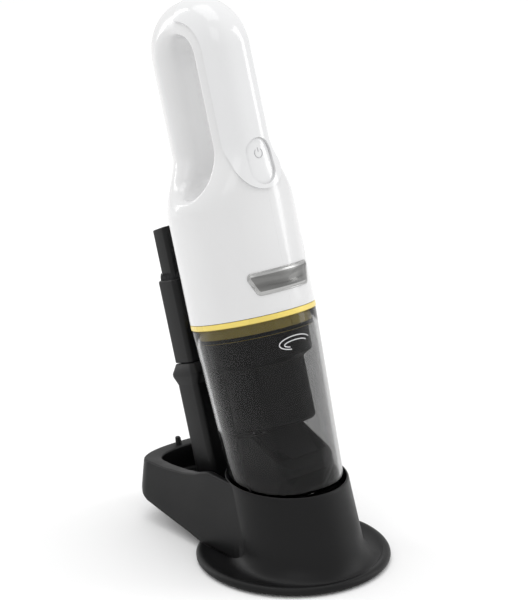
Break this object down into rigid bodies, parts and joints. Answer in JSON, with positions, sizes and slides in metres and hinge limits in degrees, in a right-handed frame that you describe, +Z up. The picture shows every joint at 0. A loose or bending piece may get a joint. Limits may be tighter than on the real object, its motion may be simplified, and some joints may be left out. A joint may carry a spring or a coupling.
{
  "type": "handheld vacuum",
  "caption": "Cordless handheld vacuum with loop handle, clear dust bin and filter, leaning in a round table stand with a crevice tool beside it.",
  "frame": {"origin": "centre of the stand's flat underside, on the table", "axes": "+Z up, -Y is the front with the power button, +Y is the side with the tool holder, X across"},
  "size_m": [0.11, 0.1654, 0.3066],
  "materials": {
    "white_shell": "gloss white moulding",
    "white_cover": "gloss white moulding, slightly cooler",
    "stand_plastic": "fine satin texture",
    "base_rubber": "matt",
    "ballast_steel": "zinc plated",
    "screw_steel": "zinc plated",
    "smoked_clear": "clear smoked polycarbonate",
    "dark_plastic": "satin",
    "seal_rubber": "matt",
    "flap_rubber": "matt",
    "yellow_plastic": "gloss yellow moulding",
    "filter_paper": "folded filter paper",
    "mesh_nylon": "fine woven mesh",
    "badge_metal": "brushed",
    "tool_plastic": "satin",
    "bristle": "nylon bristles",
    "motor_steel": "plated",
    "cell_wrap": "shrink wrap",
    "contact_nickel": "nickel plated",
    "board_green": "solder mask",
    "switch_black": "moulded",
    "light_lens": "diffusing",
    "fan_nylon": "glass-filled nylon",
    "shaft_steel": "ground"
  },
  "bodies": {
    "stand": {"stand_body": "stand_plastic", "base_pad": "base_rubber", "ballast_plate": "ballast_steel", "stand_screws": "screw_steel"},
    "bin": {"bin_shell": "smoked_clear", "inlet_duct": "dark_plastic", "nozzle_seal": "seal_rubber", "flap_pin": "screw_steel"},
    "inlet_flap": {"inlet_flap": "flap_rubber"},
    "filter_unit": {"filter_carrier": "yellow_plastic", "bin_seal": "seal_rubber", "filter_housing": "dark_plastic", "filter_pleats": "filter_paper", "filter_sleeve": "mesh_nylon", "filter_cap": "dark_plastic"},
    "motor_unit": {"housing_left": "white_shell", "housing_right": "white_shell", "grip_cover": "white_cover", "charging_socket": "switch_black", "badge_plate": "badge_metal", "intake_grille": "dark_plastic", "fan_shroud": "fan_nylon", "diffuser": "fan_nylon", "motor_can": "motor_steel", "motor_mount_front": "seal_rubber", "motor_mount_rear": "seal_rubber", "motor_cradle": "fan_nylon", "battery_cell_lower": "cell_wrap", "battery_cell_upper": "cell_wrap", "cell_cradle": "fan_nylon", "cell_tabs": "contact_nickel", "control_board": "board_green", "button_switch": "switch_black", "status_light": "light_lens", "shell_screws": "screw_steel"},
    "power_button": {"power_button": "white_cover"},
    "port_cover": {"port_cover": "white_cover"},
    "rotor": {"impeller": "fan_nylon", "fan_nut": "screw_steel", "motor_shaft": "shaft_steel"},
    "crevice_tool": {"crevice_tube": "tool_plastic"},
    "brush": {"brush_sleeve": "tool_plastic", "brush_bristles": "bristle"},
    "brush_catch": {"brush_catch": "tool_plastic"}
  },
  "joints": [
    {"name": "vacuum_lift", "type": "slide", "parent": "stand", "child": "bin", "axis": [0, 0.309, 0.9511], "range_m": [0, 0.15]},
    {"name": "motor_unit_lift", "type": "slide", "parent": "bin", "child": "motor_unit", "axis": [0, 0.309, 0.9511], "range_m": [0, 0.16]},
    {"name": "filter_lift", "type": "slide", "parent": "bin", "child": "filter_unit", "axis": [0, 0.309, 0.9511], "range_m": [0, 0.08]},
    {"name": "flap_swing", "type": "hinge", "parent": "bin", "child": "inlet_flap", "pos_m": [0, 0.01682, 0.07366], "axis": [-1, 0, 0], "range_deg": [0, 24], "stiffness_Nm_per_rad": 0.0005, "springref_deg": -5.73},
    {"name": "button_press", "type": "slide", "parent": "motor_unit", "child": "power_button", "axis": [0, 0.9511, -0.309], "range_m": [0, 0.0008], "stiffness_N_per_m": 400, "springref_m": -0.0006},
    {"name": "port_cover_swing", "type": "hinge", "parent": "motor_unit", "child": "port_cover", "pos_m": [0, 0.09285, 0.21982], "axis": [1, 0, 0], "range_deg": [0, 80]},
    {"name": "rotor_spin", "type": "hinge", "parent": "motor_unit", "child": "rotor", "pos_m": [0, 0.04036, 0.15455], "axis": [0, 0.309, 0.9511], "continuous": true},
    {"name": "tool_lift", "type": "slide", "parent": "stand", "child": "crevice_tool", "axis": [0, 0.309, 0.9511], "range_m": [0, 0.12]},
    {"name": "brush_slide", "type": "slide", "parent": "crevice_tool", "child": "brush", "axis": [0, 0.309, 0.9511], "range_m": [0, 0.026]},
    {"name": "catch_press", "type": "slide", "parent": "brush", "child": "brush_catch", "axis": [0, -0.9511, 0.309], "range_m": [0, 0.0005], "stiffness_N_per_m": 400, "springref_m": -0.0006}
  ],
  "couplings": [
    {"joint": "filter_lift", "follows": "motor_unit_lift", "ratio": 0.5}
  ]
}
